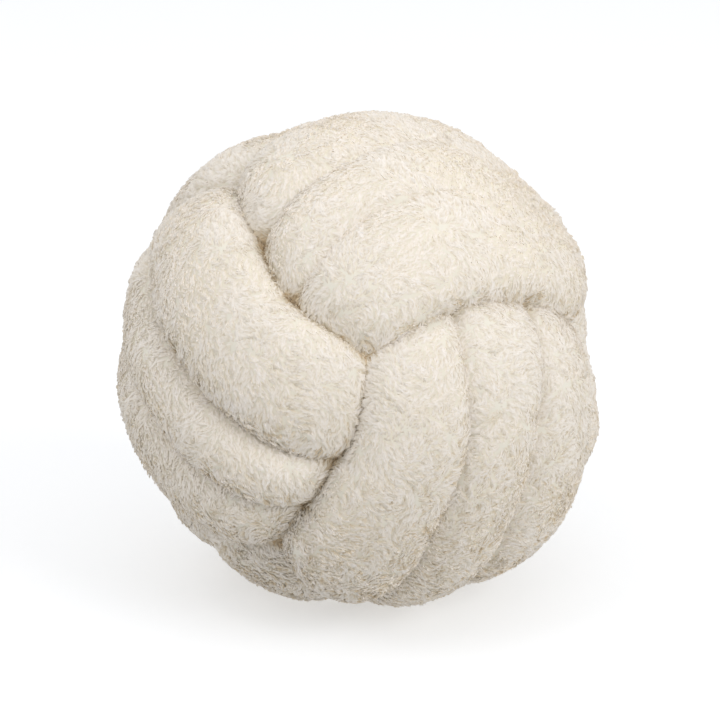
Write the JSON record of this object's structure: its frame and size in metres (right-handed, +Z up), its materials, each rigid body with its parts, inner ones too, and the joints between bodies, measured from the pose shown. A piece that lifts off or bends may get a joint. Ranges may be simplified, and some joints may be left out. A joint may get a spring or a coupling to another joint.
{
  "type": "knot cushion",
  "caption": "Round ball cushion knotted from one long stuffed tube of short cream plush.",
  "frame": {"origin": "on the surface the ball rests on, at the middle of the ball's box in X and Y", "axes": "+Z up, away from the flat spot the ball rests on; the corner where three patches of the knot meet looks along -Y"},
  "size_m": [0.2996, 0.2956, 0.2952],
  "materials": {
    "plush": "matt short curly pile"
  },
  "bodies": {
    "root": {"knot_cushion": "plush"}
  },
  "joints": []
}
